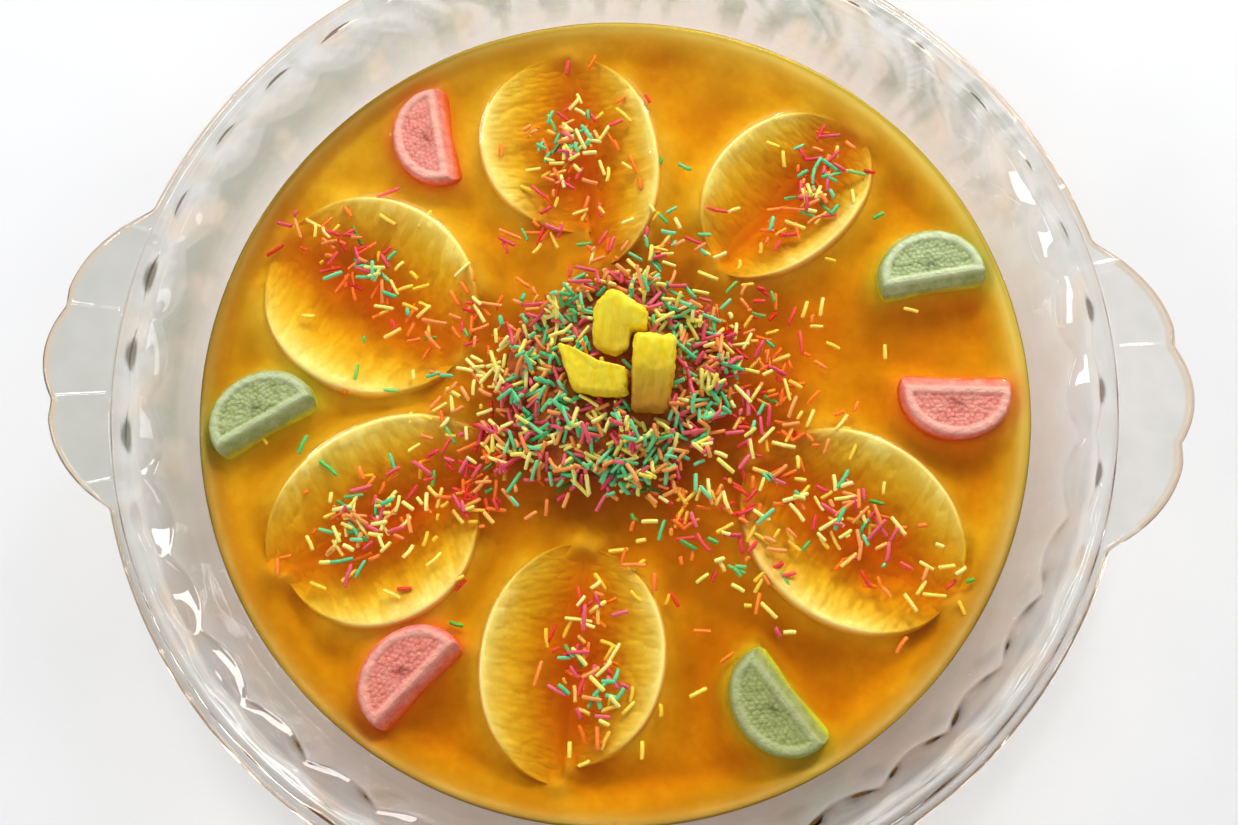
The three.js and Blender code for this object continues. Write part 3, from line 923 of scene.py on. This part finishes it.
# The sides of the jelly and of its cloudy heart, down round the corner of the dish: levels, and how
# far each goes past the wall's line. Both reach just into the glass, the heart a little less.
JELLY_REACH = JELLY_EDGE_RADIUS + 0.3
JELLY_GRID = 260
JELLY_SIDE = [(20, 0.2), (15, 0.2), (CORNER_TOP, 0.2), (8.2, -1.1), (6.2, -2.9), (5.0, -5.8), (4.2, -9.6)]
CLOUD_INTO_WALL = 0.1
CLOUD_REACH = wall_radius(JELLY_LEVEL + 0.25) + CLOUD_INTO_WALL
CLOUD_GRID = 220
CLOUD_SIDE = [(JELLY_LEVEL - 1.2, 0), (20, 0), (15, 0), (11, 0), (8, -2.5), (6, -7)]


def jelly_piece(dye_at):
    rings = [(wall_radius(max(level, CORNER_TOP)) + past, level) for level, past in JELLY_SIDE]
    points, faces = round_block(JELLY_GRID, JELLY_REACH, jelly_height, rings)
    dye = np.zeros(len(points))
    skin = slice(0, JELLY_GRID ** 2)
    dye[skin] = dye_at(points[skin, 0], points[skin, 1])
    add_piece("jelly_clear", points, faces, jelly_material(), "orange_jelly", ["jelly"], dye=dye)


def cloud_height(x, y):
    """Where the jelly turns cloudy: deeper on the right, nearer the skin at the wall and beside the
    fruit and the sweets, and over the segments only in their troughs and at their ends."""
    radius = np.hypot(x, y)
    z = JELLY_LEVEL - (7.8 + 0.014 * x - 0.018 * y + 1.2 * ripple(x, y, 21, 50, 3))
    crest_gap = distance_to(crest_lines()[0], x, y)
    z = z + (JELLY_LEVEL - 2.4 - z) * 0.8 * bump(crest_gap, 6.2)
    for outline in sweet_waterlines():
        z = z + (JELLY_LEVEL - 2.6 - z) * 0.85 * bump(distance_to(outline[::3], x, y), 4)
    z = z + np.clip(TIP_LEVEL + 1.1 - z, 0, None) * bump(distance_to(petal_tips(), x, y), 5)
    toward_light = 0.5 + 0.5 * np.cos(np.arctan2(y, x) - 0.6)
    z = z + (JELLY_LEVEL - 4.5 + 3 * toward_light - z) * smooth_step(radius, 100, 110.5)
    for petal, half_length, width, shift, side in SEGMENTS:
        along, across = from_petal(petal, x, y)
        t = np.clip((along - shift) / half_length, -0.999, 0.999)
        q = side * across / ((width + SEGMENT_REACH) * np.sqrt(1 - t ** 2))
        face = drawn_to_tip(t, face_height(t, np.clip(q, 0, 1)))
        hidden = np.maximum(1 - smooth_step(q, 0.1, 0.36), smooth_step(np.abs(t), 0.74, 0.9))
        inside = smooth_step(side * across, -0.4, 0.0) * (q < 1)
        inside = inside * (1 - smooth_step(np.abs(t), 0.84, 0.99))
        z = z + (face - 1.4 + 1.7 * hidden - z) * inside
    return z + (jelly_height(x, y) - 0.14 - z) * smooth_step(radius, 106.5, 111.7)


def cloud_tints(x, y):
    """Stain in the troughs, and the painted pink and green glow of light through the sweets into the
    jelly.
    """
    stain = np.zeros(np.shape(x))
    for petal in PETALS:
        along, across = from_petal(petal, x, y)
        stain = np.maximum(stain, np.exp(-(across / 7) ** 2 - (along / 31) ** 4))
    tints = {"pink": np.zeros(np.shape(x)), "green": np.zeros(np.shape(x))}
    for sweet, outline in zip(SWEETS, sweet_waterlines()):
        kind = sweet_kind(sweet)
        tints[kind] = np.maximum(tints[kind], 0.6 * bump(distance_to(outline[::3], x, y), 3.4))
    return {"stain": 0.4 * stain, "blush": tints["pink"], "verdant": tints["green"]}


def cloud_piece():
    rings = [(wall_radius(level) + CLOUD_INTO_WALL + past, level) for level, past in CLOUD_SIDE]
    points, faces = round_block(CLOUD_GRID, CLOUD_REACH, cloud_height, rings)
    x, y = points[:, 0], points[:, 1]
    radius = np.hypot(x, y)
    on_side = np.arange(len(points)) >= CLOUD_GRID ** 2
    # painted light and shade round the jelly's edge: dark on the shaded side, bright toward the lamps
    add_piece("jelly_cloudy_heart", points, faces, cloud_material(), "orange_jelly",
              rim=0.7 * smooth_step(radius, CLOUD_REACH - 7.5, CLOUD_REACH - 2),
              brim=np.where(on_side, 0, smooth_step(radius, CLOUD_REACH - 1.7, CLOUD_REACH - 0.3)),
              lit=smooth_step(np.cos(np.arctan2(y, x) - 1.0), 0.0, 0.95),
              flank=on_side.astype(float), **cloud_tints(x, y))


# --- Mound under the strands ---

def mound_outline(turn):
    return 1 + 0.06 * np.sin(2 * turn + 0.6) + 0.05 * np.sin(5 * turn)


def mound_height(x, y):
    """Height of the core above the jelly's level, or 0 outside it."""
    dx, dy = x - MOUND_CENTRE[0], y - MOUND_CENTRE[1]
    share = np.hypot(dx, dy) / (CORE_RADIUS * mound_outline(np.arctan2(dy, dx)))
    return CORE_HEIGHT * (1 - smooth_step(share, 0.55, 1.0)) * (share < 1)


def mound_piece():
    columns = 120
    turn = np.arange(columns) * 2 * np.pi / columns
    across = np.linspace(0.97, 0.06, 26)
    rings = []
    for share, drop in [(0.9, -1.2), (0.985, -0.6), (1.0, 0), *((share, 0) for share in across)]:
        r = CORE_RADIUS * mound_outline(turn) * share
        x, y = MOUND_CENTRE[0] + r * np.cos(turn), MOUND_CENTRE[1] + r * np.sin(turn)
        lumps = 0.35 * ripple(x, y, 5, 7) * (1 - smooth_step(share, 0.8, 0.97))
        rings.append(np.stack([x, y, JELLY_LEVEL + 0.3 + drop + mound_height(x, y) + lumps], axis=-1))
    foot, top = (*MOUND_CENTRE, JELLY_LEVEL - 1), (*MOUND_CENTRE, JELLY_LEVEL + 2.0)
    points, faces = closed_body(np.array(rings), foot, top)
    add_piece("strand_mound", points, faces, mound_material(), "sugar_strands", ["sprinkle_mound"])


# --- Yellow fruit chunks ---

def soft_outline(corners, per_side=22, rounds=18):
    """A closed outline through the corners, smoothed over and over, and each point's share of the
    nearest corners' values."""
    count = len(corners)
    table = np.concatenate([np.asarray(corners, float), np.eye(count)], axis=1)
    closed = np.concatenate([table, table[:1]])
    steps = np.arange(count * per_side) / per_side
    line = np.stack([np.interp(steps, np.arange(count + 1), column) for column in closed.T], axis=-1)
    for _ in range(rounds):
        line = 0.25 * np.roll(line, 1, axis=0) + 0.5 * line + 0.25 * np.roll(line, -1, axis=0)
    return line[:, :2], line[:, 2:]


def chunk_piece(number, outline, rise, lean, soak, material):
    edge, weights = soft_outline(outline)
    lift = weights @ np.asarray(rise, float)
    middle = np.mean(outline, axis=0)
    size = np.linalg.norm(edge - middle, axis=1).mean()
    top_middle = np.mean(rise)
    rings, soaked = [], []

    def ring(inset, height, brown=0.0):
        xy = edge + (middle - edge) * inset
        rings.append(np.concatenate([xy, (CHUNK_FOOT + height)[:, None]], axis=1))
        soaked.append(np.full(len(edge), brown))

    # the sides are browner towards the foot: painted shade where the chunk sits on the heap
    for share in np.linspace(0, 0.86, 12):
        inset = 0.05 * (1 - smooth_step(share, 0, 0.2)) + lean * share ** 2 * 0.8
        ring(inset, lift * share, 1 - smooth_step(share, 0.0, 0.75))
    for turn in np.radians(np.linspace(15, 90, 6)):
        inset = 0.7 * lean + CHUNK_ROUNDING / size * (1 - math.cos(turn))
        ring(inset, lift * (0.86 + 0.14 * math.sin(turn)))
    first = 0.7 * lean + CHUNK_ROUNDING / size
    for share in np.linspace(0.06, 0.97, 20):
        ring(first + (1 - first) * share, lift + (top_middle - lift) * share ** 1.5)

    x, y, z = np.moveaxis(np.array(rings), -1, 0)
    grain = ripple(x, y * 0.25, 60 + number, 2.6, 3) + 0.7 * ripple(x, y, 70 + number, 6, 2)
    z = z + 0.15 * grain * smooth_step(z - CHUNK_FOOT, 0.5, 3)
    side = 0.30 * ripple(z * 1.5, x + y, 80 + number, 4, 3) / size
    x, y = x + side * (x - middle[0]), y + side * (y - middle[1])
    foot, top = (*middle, CHUNK_FOOT), (*middle, CHUNK_FOOT + top_middle)
    points, faces = closed_body(np.stack([x, y, z], axis=-1), foot, top)
    # browner towards the near end: partly soaked, partly painted shade on faces turned from the lamps
    toward_end = 1 - smooth_step(y, y.min(), y.min() + 7 + 15 * soak)
    soaked = np.maximum(np.array(soaked) * 0.8, soak * toward_end)
    add_piece(f"chunk_{number}", points, faces, material, "yellow_fruit",
              [f"fruit_chunk_{number}"], soaked=with_ends(soaked, 1, soaked[-1].mean()))


def add_chunks():
    material = chunk_material()
    for number, chunk in enumerate(CHUNKS, 1):
        chunk_piece(number, *chunk, material)


# --- Sugar strands ---

# Kinds: colour, paler colour, and how strongly a strand dyes the jelly.
STRAND_KINDS = {
    "mint": ("2ec072", "80de9c", 0.35),
    "cream": ("f4e448", "fcf690", 0.25),
    "raspberry": ("d62a46", "ee6876", 1.6),
    "orange": ("f07826", "fba856", 0.9),
}

# Clusters: middle, spread along and across, direction, how many, how deep the strands sit in the
# jelly (least and most), and the shares of mint, cream, raspberry and orange.
CLUSTERS = [
    # on each petal's trough
    ((-16.3, 72), (10, 5), 95, 66, (-0.2, 0.9), (0.22, 0.36, 0.24, 0.18)),
    ((-12, 68), (17, 13), 95, 34, (0.5, 2.2), (0.08, 0.45, 0.07, 0.4)),
    ((53.5, 62), (8, 4), 55, 48, (-0.2, 0.9), (0.26, 0.24, 0.26, 0.24)),
    ((50, 57), (18, 7), 50, 34, (0.4, 2.0), (0.12, 0.4, 0.13, 0.35)),
    ((64, -31), (16, 4.2), -35, 66, (-0.2, 0.9), (0.2, 0.32, 0.26, 0.22)),
    ((62, -31), (22, 9), -35, 40, (0.5, 2.2), (0.06, 0.48, 0.1, 0.36)),
    ((-1.5, -73), (10, 4.2), -96, 46, (-0.2, 0.9), (0.24, 0.34, 0.26, 0.16)),
    ((-1.5, -74), (17, 9), -96, 30, (0.5, 2.2), (0.08, 0.44, 0.12, 0.36)),
    ((-63, -38), (8, 5), 20, 56, (-0.2, 0.8), (0.16, 0.38, 0.22, 0.24)),
    ((-54, -35), (17, 7), 20, 54, (0.2, 2.0), (0.08, 0.38, 0.18, 0.36)),
    ((-72, 35), (12, 3.5), -32, 36, (-0.2, 0.8), (0.3, 0.2, 0.26, 0.24)),
    ((-64, 28), (18, 7), -32, 46, (0.4, 2.2), (0.08, 0.38, 0.12, 0.42)),
    # round the heap
    ((36, 3), (9, 15), 0, 84, (-0.2, 1.6), (0.06, 0.24, 0.3, 0.4)),
    ((46, 7), (9, 9), 0, 34, (0.6, 2.4), (0.04, 0.34, 0.24, 0.38)),
    ((26, -35), (14, 8), -25, 92, (-0.1, 1.8), (0.12, 0.34, 0.22, 0.32)),
    ((15, 46), (7, 5), 0, 20, (-0.2, 1.0), (0.3, 0.26, 0.26, 0.18)),
    ((-34, -18), (9, 9), 0, 88, (-0.2, 1.2), (0.1, 0.24, 0.36, 0.3)),
    ((-34, 12), (9, 12), 0, 60, (-0.1, 1.2), (0.1, 0.3, 0.2, 0.4)),
    ((-5, 42), (16, 5), 0, 24, (0, 1.4), (0.2, 0.34, 0.26, 0.2)),
    # thinly over the whole jelly
    ((0, 0), (52, 52), 0, 110, (0.6, 2.8), (0.12, 0.42, 0.12, 0.34)),
]

HEAP_COUNT = 980
HEAP_SHARES = (0.28, 0.27, 0.22, 0.23)
CLEAR_OF_WALL = 4
FIELD_REACH = 116  # the square fields of heights and dye reach just past the jelly
STEEPEST = 0.5


def in_polygon(x, y, outline):
    inside = False
    for (x1, y1), (x2, y2) in zip(outline, np.roll(outline, -1, axis=0)):
        if (y1 > y) != (y2 > y) and x < (x2 - x1) * (y - y1) / (y2 - y1) + x1:
            inside = not inside
    return inside


class Pile:
    """Heights of what the next strand would land on, on a square grid."""

    def __init__(self):
        self.pitch = 0.4
        line = np.arange(-FIELD_REACH, FIELD_REACH + self.pitch, self.pitch)
        self.height = JELLY_LEVEL + mound_height(*np.meshgrid(line, line, indexing="ij"))

    def cell(self, value):
        index = np.round((value + FIELD_REACH) / self.pitch).astype(int)
        return np.clip(index, 0, len(self.height) - 1)

    def drop(self, x, y, turn, length, sink):
        """Middle height and slope of a strand let fall there; sink lowers it into the jelly."""
        s = np.linspace(-0.5, 0.5, 9) * length
        found = self.height[self.cell(x + s * math.cos(turn)), self.cell(y + s * math.sin(turn))]
        best, slope = -math.inf, 0
        for i in range(5):
            for j in range(4, 9):
                if s[j] > s[i]:
                    rate = (found[j] - found[i]) / (s[j] - s[i])
                    middle = found[i] - rate * s[i]
                    if middle > best:
                        best, slope = middle, rate
        slope = float(np.clip(slope, -STEEPEST, STEEPEST))
        level = max(best, found[4]) + STRAND_RADIUS - sink
        self.fill(x, y, turn, length, level, slope)
        return level, slope

    def fill(self, x, y, turn, length, level, slope):
        """Raise the heights to the top of a strand."""
        reach = length / 2 + STRAND_RADIUS
        lo_x, hi_x = self.cell(np.array([x - reach, x + reach]))
        lo_y, hi_y = self.cell(np.array([y - reach, y + reach]))
        gx = np.arange(lo_x, hi_x + 1) * self.pitch - FIELD_REACH - x
        gy = np.arange(lo_y, hi_y + 1) * self.pitch - FIELD_REACH - y
        gx, gy = np.meshgrid(gx, gy, indexing="ij")
        along = gx * math.cos(turn) + gy * math.sin(turn)
        across = gy * math.cos(turn) - gx * math.sin(turn)
        hit = (np.abs(along) < length / 2) & (np.abs(across) < STRAND_RADIUS)
        top = level + slope * along + np.sqrt(np.clip(STRAND_RADIUS ** 2 - across ** 2, 0, None))
        block = self.height[lo_x:hi_x + 1, lo_y:hi_y + 1]
        block[hit] = np.maximum(block, top)[hit]


def strand_list():
    """Every strand as (kind, tone, x, y, z, turn, slope, length)."""
    rng = np.random.default_rng(7)
    pile = Pile()
    blocked = [np.asarray(chunk[0], float) for chunk in CHUNKS] + sweet_waterlines()
    strands = []

    def is_free(x, y):
        if math.hypot(x, y) > JELLY_EDGE_RADIUS - CLEAR_OF_WALL:
            return False
        for outline in blocked:
            mx, my = outline.mean(axis=0)
            if in_polygon(mx + (x - mx) * 0.9, my + (y - my) * 0.9, outline):
                return False
        return True

    def place(x, y, sink, shares):
        turn = rng.uniform(0, np.pi)
        length = float(np.clip(rng.normal(4.3, 1.2), 1.4, 7.2))
        kind = list(STRAND_KINDS)[int(rng.choice(4, p=np.array(shares) / sum(shares)))]
        tone = rng.uniform(0, 1)
        if is_free(x, y):
            level, slope = pile.drop(x, y, turn, length, sink)
            strands.append((kind, tone, x, y, level, turn, slope, length))

    for middle, (along, across), direction, count, (least, most), shares in CLUSTERS:
        for _ in range(count):
            a, b = rng.normal(0, along), rng.normal(0, across)
            x, y = placed(middle, direction, a, b)
            place(x, y, STRAND_RADIUS + rng.uniform(least, most), shares)
    for _ in range(HEAP_COUNT):
        turn = rng.uniform(0, 2 * np.pi)
        share = rng.uniform(0, 1) ** 0.52 * (1 + 0.16 * abs(rng.normal(0, 1)) * (rng.uniform() < 0.3))
        r = MOUND_RADIUS * mound_outline(turn) * share
        x, y = MOUND_CENTRE[0] + r * math.cos(turn), MOUND_CENTRE[1] + r * math.sin(turn)
        place(x, y, rng.uniform(0, 0.35), HEAP_SHARES)
    return strands


def strand_shape(x, y, z, turn, slope, length, rng):
    """Rings of points of one slightly bent strand with broken ends."""
    radius = STRAND_RADIUS * rng.uniform(0.86, 1.1)
    bend = rng.normal(0, 0.12)
    around = np.arange(8) * 2 * np.pi / 8
    direction = np.array([math.cos(turn), math.sin(turn), slope])
    direction /= np.linalg.norm(direction)
    across = np.array([-math.sin(turn), math.cos(turn), 0])
    up = np.cross(direction, across)
    loop = np.outer(np.cos(around), across) + np.outer(np.sin(around), up)
    near_end = 1 - 0.5 / length
    rings = []
    for place, size in ((-1, 0.72), (-near_end, 1), (0, 1.03), (near_end, 1), (1, 0.72)):
        middle = np.array([x, y, z]) + direction * place * length / 2
        middle = middle + across * bend * (1 - place ** 2)
        rings.append(middle + radius * size * loop)
    return np.array(rings)


def add_strands(strands):
    rng = np.random.default_rng(8)
    for kind, (code, pale_code, _) in STRAND_KINDS.items():
        points, faces, tones = [], [], []
        start = 0
        for _, tone, *shape in (strand for strand in strands if strand[0] == kind):
            rings = strand_shape(*shape, rng)
            rows, columns = rings.shape[:2]
            first = start + np.arange(columns)
            points.append(rings.reshape(-1, 3))
            faces.append(band_faces(rows, columns, start))
            faces.append(np.array([first[::-1], first + (rows - 1) * columns]))
            tones.append(np.full(rows * columns, tone))
            start += rows * columns
        add_piece(f"strands_{kind}", np.concatenate(points), faces,
                  strand_material(f"{kind}_strands", code, pale_code), "sugar_strands",
                  flat_angle=60, tone=np.concatenate(tones))


def dye_field(strands):
    """Dye that the strands have let into the jelly, as a function of x and y, from 0 to 1."""
    count = 2 * FIELD_REACH + 1  # one cell for each millimetre
    grid = np.zeros((count, count))
    for kind, _, x, y, *_ in strands:
        grid[int(round(x + FIELD_REACH)), int(round(y + FIELD_REACH))] += STRAND_KINDS[kind][2]
    kernel = bump(np.arange(-9, 10), 3.2)
    for axis in (0, 1):
        grid = np.apply_along_axis(lambda row: np.convolve(row, kernel, "same"), axis, grid)
    grid = 1 - np.exp(-grid / 5.0)

    def at(x, y):
        i = np.clip(x + FIELD_REACH, 0, count - 1.001)
        j = np.clip(y + FIELD_REACH, 0, count - 1.001)
        i0, j0 = i.astype(int), j.astype(int)
        u, v = i - i0, j - j0
        return ((1 - u) * (1 - v) * grid[i0, j0] + u * (1 - v) * grid[i0 + 1, j0]
                + (1 - u) * v * grid[i0, j0 + 1] + u * v * grid[i0 + 1, j0 + 1])

    return at


# --- Stage, in metres ---

FLOOR_SIZE = 6
FLOOR_LEVEL = -0.0002
IMAGE_WIDTH = 1238
FOCAL_PIXELS = 1201
CAMERA_PLACE = (0.01105, -0.08347, 0.33780)
CAMERA_TURN = (0.2444, 0.0181, 0.0442)

# Lamps: name, place, size, power and tint. All look at the dish.
LAMPS = [
    ("window", (0.32, 1.02, 0.80), (0.5, 0.24), 7.0, (1, 0.99, 0.97)),
    ("low_window", (0.62, 0.98, 0.30), (0.6, 0.16), 4.2, (1, 1, 0.98)),
    ("sky", (0.0, 1.08, 0.80), (1.3, 0.75), 4.4, (0.97, 0.98, 1)),
    ("fill", (-0.60, -0.62, 0.55), (0.9, 0.5), 1.5, (1, 0.99, 0.98)),
    ("side_window", (-0.75, 0.7, 0.8), (0.34, 0.11), 3.0, (0.96, 0.98, 1)),
]
STRIPS = [(10, 0.5), (190, 1.2), (280, 0.5)]  # low strip lamps: direction in degrees and power
STRIP_LEVEL = 0.38

# The world's brightness from straight down to straight up.
SKY_STOPS = [(0.0, 0.18), (0.10, 0.24), (0.22, 0.55), (0.4, 1.15), (0.7, 1.0), (0.88, 0.35), (1.0, 0.2)]
SKY_STRENGTH = 0.55


def link(thing):
    bpy.context.scene.collection.objects.link(thing)
    return thing


def add_floor():
    mesh = bpy.data.meshes.new("floor")
    corners = [(x * FLOOR_SIZE, y * FLOOR_SIZE, FLOOR_LEVEL)
               for x, y in ((-1, -1), (1, -1), (1, 1), (-1, 1))]
    mesh.from_pydata(corners, [], [(0, 1, 2, 3)])
    mesh.materials.append(floor_material())
    link(bpy.data.objects.new("floor", mesh))


def add_lamp(name, place, size, power, tint):
    lamp = bpy.data.lights.new(name, "AREA")
    lamp.shape = "RECTANGLE"
    lamp.size, lamp.size_y = size
    lamp.energy = power
    lamp.color = tint
    holder = link(bpy.data.objects.new(name, lamp))
    holder.location = place
    holder.rotation_euler = (-Vector(place)).to_track_quat("-Z", "Y").to_euler()


def add_lamps():
    for lamp in LAMPS:
        add_lamp(*lamp)
    for turn, power in STRIPS:
        place = (*placed((0, 0), turn, 1.0, 0.0), STRIP_LEVEL)
        add_lamp(f"strip_{turn}", place, (0.6, 0.06), power, (0.97, 0.98, 1))


def add_world():
    """A sky that lights the dish in bands, and looks evenly pale to the camera."""
    world = bpy.data.worlds.new("studio")
    bpy.context.scene.world = world
    world.use_nodes = True
    nodes, links = world.node_tree.nodes, world.node_tree.links
    background = nodes["Background"]
    place = nodes.new("ShaderNodeTexCoord")
    parts = nodes.new("ShaderNodeSeparateXYZ")
    ramp = nodes.new("ShaderNodeValToRGB")
    stops = ramp.color_ramp.elements
    while len(stops) < len(SKY_STOPS):
        stops.new(0.5)
    for stop, (place_up, grey) in zip(stops, SKY_STOPS):
        stop.position = place_up
        stop.color = (grey, grey, grey * 1.02, 1)
    pale = nodes.new("ShaderNodeBackground")
    pale.inputs[0].default_value = (0.86, 0.87, 0.88, 1)
    path = nodes.new("ShaderNodeLightPath")
    mix = nodes.new("ShaderNodeMixShader")
    links.new(place.outputs["Generated"], parts.inputs[0])
    links.new(parts.outputs["Z"], ramp.inputs[0])
    links.new(ramp.outputs[0], background.inputs[0])
    links.new(path.outputs["Is Camera Ray"], mix.inputs[0])
    links.new(background.outputs[0], mix.inputs[1])
    links.new(pale.outputs[0], mix.inputs[2])
    links.new(mix.outputs[0], nodes["World Output"].inputs[0])
    background.inputs[1].default_value = SKY_STRENGTH


def add_camera():
    camera = bpy.data.cameras.new("camera")
    camera.sensor_width = 36
    camera.lens = camera.sensor_width * FOCAL_PIXELS / IMAGE_WIDTH
    camera.clip_start = 0.01
    holder = link(bpy.data.objects.new("camera", camera))
    holder.location = CAMERA_PLACE
    holder.rotation_euler = Euler(CAMERA_TURN, "XYZ")
    bpy.context.scene.camera = holder


def set_scene():
    scene = bpy.context.scene
    scene.view_settings.view_transform = "Standard"
    scene.cycles.transparent_max_bounces = 32
    scene.cycles.max_bounces = 16
    scene.cycles.transmission_bounces = 16
    add_floor()
    add_world()
    add_lamps()
    add_camera()


# --- The whole dessert ---

dish_piece()
add_segments()
add_sweets()
add_chunks()
mound_piece()
all_strands = strand_list()
add_strands(all_strands)
jelly_piece(dye_field(all_strands))
cloud_piece()
set_scene()
